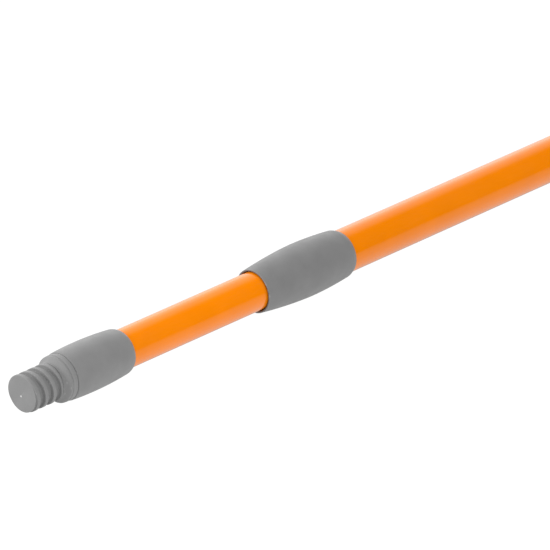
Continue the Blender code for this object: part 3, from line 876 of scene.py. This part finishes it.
def nut_piece():
    start, end = ends("wedge_nut")
    base = ends("inner_tube")[1]

    def bore(x, angle):
        """The inner thread, half a turn of pitch on from the spindle's, with its ends faded out."""
        grow = smooth_step((x - start) / 2.0) * smooth_step((end - x) / 2.0)
        return LOCK_CREST_R + LOCK_BORE_FIT - LOCK_DEPTH * lock_ridge(x, angle, 0.5 * LOCK_PITCH) * grow

    big, small = cone_radius(end - base) - CONE_GAP, cone_radius(start - base) - CONE_GAP
    stations = [(start, NUT_MOUTH_R), (start, small - 0.3), (start + 0.1, small - 0.1), (start + 0.3, small)]
    for x in along(start + 2.0, end - 0.4, 8):
        stations.append((x, cone_radius(x - base) - CONE_GAP))
    stations += [(end - 0.1, big - 0.1), (end, big - 0.35), (end, NUT_MOUTH_R), (end - 0.25, 3.6)]
    for x in along(end - 0.4, start + 0.4, 130):
        stations.append((x, lambda angle, x=x: bore(x, angle)))
    stations.append((start + 0.25, 3.6))
    piece = turned("lock_wedge_nut", stations, MEDIUM)
    # The keys that run in the expander's slots.
    cut_around(piece, (start + 3.0, -0.9, 4.3), (end - 3.0, 0.9, NUT_KEY_R), 3, operation="UNION")
    material = plain_plastic("nut_natural_plastic", (0.60, 0.58, 0.52), (0.70, 0.68, 0.62), 0.36)
    return place(piece, "wedge_nut", "lock_wedge", material)


def washer_piece():
    start, end = ends("stop_washer")
    corners = [
        (start, WASHER_R, 0.25), (end, WASHER_R, 0.12),
        (end, WASHER_BORE_R, 0.12), (start, WASHER_BORE_R, 0.12),
    ]
    piece = turned("lock_stop_washer", rounded(corners, 4), MEDIUM)
    return place(piece, "stop_washer", "front_section", steel("washer_steel", LINES_ON_DISCS))


def clip_piece():
    start, end = ends("retaining_clip")

    def inside(angle):
        lobes = 0.5 + 0.5 * math.cos(3.0 * (angle - math.radians(90)))
        return CLIP_INNER_R + 0.75 * smooth_step(lobes)

    def outside(angle):
        return CLIP_OUTER_R - 0.35 * (0.5 - 0.5 * math.cos(3.0 * (angle - math.radians(90))))

    stations = [
        (start, lambda a: inside(a) + 0.06), (start, lambda a: outside(a) - 0.1), (start + 0.1, outside),
        (end - 0.1, outside), (end, lambda a: outside(a) - 0.1), (end, lambda a: inside(a) + 0.06),
        (end - 0.06, inside), (start + 0.06, inside),
    ]
    piece = turned("lock_retaining_clip", stations, MEDIUM)
    # The clip's open side.
    cut(piece, box_cutter((start - 1.0, -1.5, 0.0), (end + 1.0, 1.5, 9.0), 0.0))
    return place(piece, "retaining_clip", "front_section", steel("clip_steel", LINES_ON_DISCS))


# ---------------------------------------------------------------- floor, light and camera

def floor():
    """A white floor under the collar, for the camera only: it neither lights the pole nor mirrors in it."""
    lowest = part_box("collar")[0].z
    bm = bmesh.new()
    bmesh.ops.create_grid(bm, x_segments=8, y_segments=8, size=FLOOR_HALF)
    bmesh.ops.translate(bm, vec=(0.0, 0.0, lowest - FLOOR_GAP), verts=bm.verts)
    obj = new_object("floor", bm)
    material = bpy.data.materials.new("floor_white")
    material.use_nodes = True
    tree = material.node_tree
    tree.nodes.clear()
    output = tree.nodes.new("ShaderNodeOutputMaterial")
    glow = tree.nodes.new("ShaderNodeEmission")
    matte = tree.nodes.new("ShaderNodeBsdfDiffuse")
    matte.inputs["Color"].default_value = (0.05, 0.05, 0.05, 1.0)
    both = tree.nodes.new("ShaderNodeAddShader")
    tree.links.new(glow.outputs["Emission"], both.inputs[0])
    tree.links.new(matte.outputs["BSDF"], both.inputs[1])
    tree.links.new(both.outputs["Shader"], output.inputs["Surface"])
    obj.data.materials.append(material)
    obj.visible_glossy = False
    obj.visible_diffuse = False


def world_light():
    """A studio with its brightness set by the angle about the pole, apart for matt and mirroring surfaces.

    The camera itself sees plain white.
    """
    world = bpy.data.worlds.new("studio")
    bpy.context.scene.world = world
    world.use_nodes = True
    tree = world.node_tree
    tree.nodes.clear()

    def add(kind, **settings):
        node = tree.nodes.new(kind)
        for key, value in settings.items():
            setattr(node, key, value)
        return node

    output = add("ShaderNodeOutputWorld")
    coords = add("ShaderNodeTexCoord")
    parts = add("ShaderNodeSeparateXYZ")
    tree.links.new(coords.outputs["Generated"], parts.inputs["Vector"])

    front = add("ShaderNodeMath", operation="MULTIPLY")
    tree.links.new(parts.outputs["Y"], front.inputs[0])
    front.inputs[1].default_value = -1.0
    around = add("ShaderNodeMath", operation="ARCTAN2")
    tree.links.new(parts.outputs["Z"], around.inputs[0])
    tree.links.new(front.outputs["Value"], around.inputs[1])
    share = add("ShaderNodeMapRange")
    share.inputs["From Min"].default_value = -math.pi
    share.inputs["From Max"].default_value = math.pi
    tree.links.new(around.outputs["Value"], share.inputs["Value"])
    mirror = add("ShaderNodeValToRGB")
    ramp(mirror.color_ramp, MIRROR_LIGHT)
    tree.links.new(share.outputs["Result"], mirror.inputs["Fac"])

    scatter = add("ShaderNodeValToRGB")
    ramp(scatter.color_ramp, SCATTER_LIGHT)
    tree.links.new(share.outputs["Result"], scatter.inputs["Fac"])

    path = add("ShaderNodeLightPath")
    for_mirror = add("ShaderNodeMix", data_type="RGBA")
    tree.links.new(path.outputs["Is Glossy Ray"], for_mirror.inputs["Factor"])
    tree.links.new(scatter.outputs["Color"], for_mirror.inputs[6])
    tree.links.new(mirror.outputs["Color"], for_mirror.inputs[7])
    for_camera = add("ShaderNodeMix", data_type="RGBA")
    tree.links.new(path.outputs["Is Camera Ray"], for_camera.inputs["Factor"])
    tree.links.new(for_mirror.outputs[2], for_camera.inputs[6])
    for_camera.inputs[7].default_value = (1.0, 1.0, 1.0, 1.0)
    background = add("ShaderNodeBackground")
    tree.links.new(for_camera.outputs[2], background.inputs["Color"])
    tree.links.new(background.outputs["Background"], output.inputs["Surface"])


def ramp(color_ramp, stops):
    """Sets a colour ramp to grey stops of (position, brightness)."""
    while len(color_ramp.elements) > 1:
        color_ramp.elements.remove(color_ramp.elements[-1])
    for i, (position, brightness) in enumerate(stops):
        stop = color_ramp.elements[0] if i == 0 else color_ramp.elements.new(position)
        stop.position = position
        stop.color = (brightness, brightness, brightness, 1.0)


def turn_share(degrees):
    """Where an angle falls in the ramps: 0 and 1 are straight behind, a half is the camera's side."""
    return (degrees + 180.0) / 360.0


def by_angle(stops):
    """Ramp stops from pairs of (degrees above the horizon on the camera's side, brightness)."""
    return [(turn_share(degrees), brightness) for degrees, brightness in stops]


# Brightness for mirroring surfaces.
MIRROR_LIGHT = by_angle([
    (-180.0, 1.3), (-145.0, 0.42), (-110.0, 0.85), (-80.0, 1.05), (-54.0, 1.05), (-39.0, 0.85), (-25.0, 0.72),
    (-12.0, 0.50), (-6.0, 0.38), (-2.0, 0.01), (86.0, 0.01), (95.0, 0.20), (108.0, 0.66), (124.0, 1.0),
    (141.0, 1.4), (163.0, 1.8), (180.0, 1.3),
])
# Brightness for matt surfaces.
SCATTER_LIGHT = by_angle([
    (-180.0, 0.62), (-95.0, 0.62), (-75.0, 0.80), (-50.0, 1.20), (-8.0, 1.25), (2.0, 1.15), (40.0, 1.24),
    (75.0, 1.45), (120.0, 1.35), (180.0, 1.05),
])


def soft_light(name, at, aim, size, power):
    """A round soft light that shows neither in the picture nor in the gloss."""
    light = bpy.data.lights.new(name, "AREA")
    light.shape = "DISK"
    light.size = size
    light.energy = power
    obj = bpy.data.objects.new(name, light)
    bpy.context.scene.collection.objects.link(obj)
    obj.location = at
    obj.rotation_mode = "QUATERNION"
    obj.rotation_quaternion = (Vector(aim) - Vector(at)).to_track_quat("-Z", "Y")
    obj.visible_camera = False
    obj.visible_glossy = False
    return obj


def camera():
    """A long lens that looks along the pole from the tip's side and a little above."""
    azimuth, elevation = math.radians(CAMERA_AZIMUTH), math.radians(CAMERA_ELEVATION)
    back = Vector((
        math.sin(azimuth) * math.cos(elevation),
        -math.cos(azimuth) * math.cos(elevation),
        math.sin(elevation),
    ))
    data = bpy.data.cameras.new("camera")
    data.sensor_width = 36.0
    data.lens = CAMERA_LENS
    data.clip_start, data.clip_end = 0.05, 100.0
    obj = bpy.data.objects.new("camera", data)
    bpy.context.scene.collection.objects.link(obj)
    turn = (-back).to_track_quat("-Z", "Y")
    aim = Vector(CAMERA_AIM) + turn @ Vector((0.0, CAMERA_LIFT, 0.0))
    obj.rotation_mode = "QUATERNION"
    obj.rotation_quaternion = turn
    obj.location = aim + back * CAMERA_DISTANCE
    bpy.context.scene.camera = obj


# ---------------------------------------------------------------- the whole

tip_piece()
tip_sleeve_piece()
tube_piece(
    "inner_tube_painted", "inner_tube", "front_section", INNER_WALL,
    [middle_of("tip_pin"), middle_of("plug_pin")], INNER_RUBS, INNER_PAINTED_SHADE,
)
tube_piece(
    "outer_tube_painted", "outer_tube", "rear_section", OUTER_WALL,
    [middle_of("butt_pin")], OUTER_RUBS, OUTER_PAINTED_SHADE,
)
collar_piece()
bush_piece()
butt_plug_piece()
butt_sleeve_piece()
pin_piece("tip_cross_pin", "tip_pin", "front_section")
pin_piece("lock_plug_cross_pin", "plug_pin", "front_section")
pin_piece("butt_cross_pin", "butt_pin", "rear_section")
spindle_piece()
lock_plug_piece()
expander_piece()
drag_ring_piece("lock_drag_ring_front", "drag_ring_front")
drag_ring_piece("lock_drag_ring_rear", "drag_ring_rear")
nut_piece()
washer_piece()
clip_piece()
floor()
world_light()
soft_light("key_beyond_tip", KEY_AT, KEY_AIM, KEY_SIZE, KEY_POWER)
camera()
bpy.context.scene.view_settings.view_transform = "Standard"
